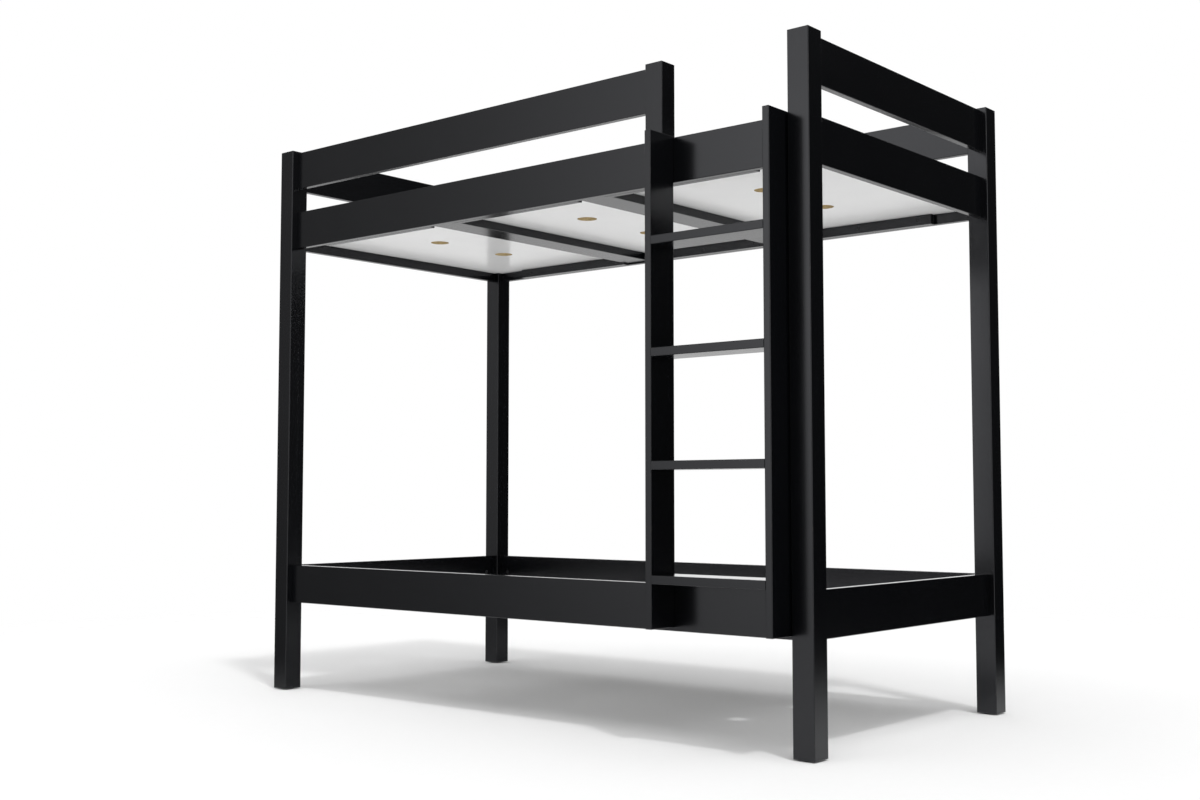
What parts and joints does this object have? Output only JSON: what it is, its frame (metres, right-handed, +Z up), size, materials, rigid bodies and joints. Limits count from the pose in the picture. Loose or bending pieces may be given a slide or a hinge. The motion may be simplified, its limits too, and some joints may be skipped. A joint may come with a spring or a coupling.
{
  "type": "bunk bed with ladder",
  "caption": "Bunk bed frame with square corner posts, plain rails, guard rails round the upper bed, board bases and a fixed upright ladder at one end of the front.",
  "frame": {"origin": "on the floor, at the centre of the whole object's outline seen from above, ladder included", "axes": "+X along the bed towards the ladder end, +Y from the ladder side to the rear, +Z up"},
  "size_m": [2.02, 1.097, 1.74],
  "materials": {
    "black_lacquer": "black satin lacquer over wood board",
    "white_board": "white melamine faced chipboard with bare edges in the holes",
    "beech_dowel": "bare fluted beech",
    "zinc_fitting": "zinc plated, satin",
    "black_fitting": "black zinc plated steel, satin",
    "black_plastic": "moulded polyethylene glide"
  },
  "bodies": {
    "root": {"post_front_left": "black_lacquer", "post_front_right": "black_lacquer", "post_rear_left": "black_lacquer", "post_rear_right": "black_lacquer", "guard_post": "black_lacquer", "lower_rail_front": "black_lacquer", "lower_rail_rear": "black_lacquer", "lower_rail_left": "black_lacquer", "lower_rail_right": "black_lacquer", "upper_rail_front": "black_lacquer", "upper_rail_rear": "black_lacquer", "upper_rail_left": "black_lacquer", "upper_rail_right": "black_lacquer", "guard_rail_front": "black_lacquer", "guard_rail_rear": "black_lacquer", "guard_rail_left": "black_lacquer", "guard_rail_right": "black_lacquer", "ladder_stringer_left": "black_lacquer", "ladder_stringer_right": "black_lacquer", "ladder_step_1": "black_lacquer", "ladder_step_2": "black_lacquer", "ladder_step_3": "black_lacquer", "ladder_step_4": "black_lacquer", "lower_crossbar_left": "black_lacquer", "lower_crossbar_right": "black_lacquer", "upper_crossbar_left": "black_lacquer", "upper_crossbar_right": "black_lacquer", "lower_cleat_front_left": "black_lacquer", "lower_cleat_front_middle": "black_lacquer", "lower_cleat_front_right": "black_lacquer", "lower_cleat_rear_left": "black_lacquer", "lower_cleat_rear_middle": "black_lacquer", "lower_cleat_rear_right": "black_lacquer", "upper_cleat_front_left": "black_lacquer", "upper_cleat_front_middle": "black_lacquer", "upper_cleat_front_right": "black_lacquer", "upper_cleat_rear_left": "black_lacquer", "upper_cleat_rear_middle": "black_lacquer", "upper_cleat_rear_right": "black_lacquer", "lower_board_left": "white_board", "lower_board_middle": "white_board", "lower_board_right": "white_board", "upper_board_left": "white_board", "upper_board_middle": "white_board", "upper_board_right": "white_board", "rail_dowels": "beech_dowel", "crossbar_dowels": "beech_dowel", "step_dowels": "beech_dowel", "cam_bolts": "zinc_fitting", "cam_locks": "black_fitting", "cleat_screws": "black_fitting", "ladder_screws": "black_fitting", "guard_post_bolts": "black_fitting", "foot_glides": "black_plastic"}
  },
  "joints": []
}
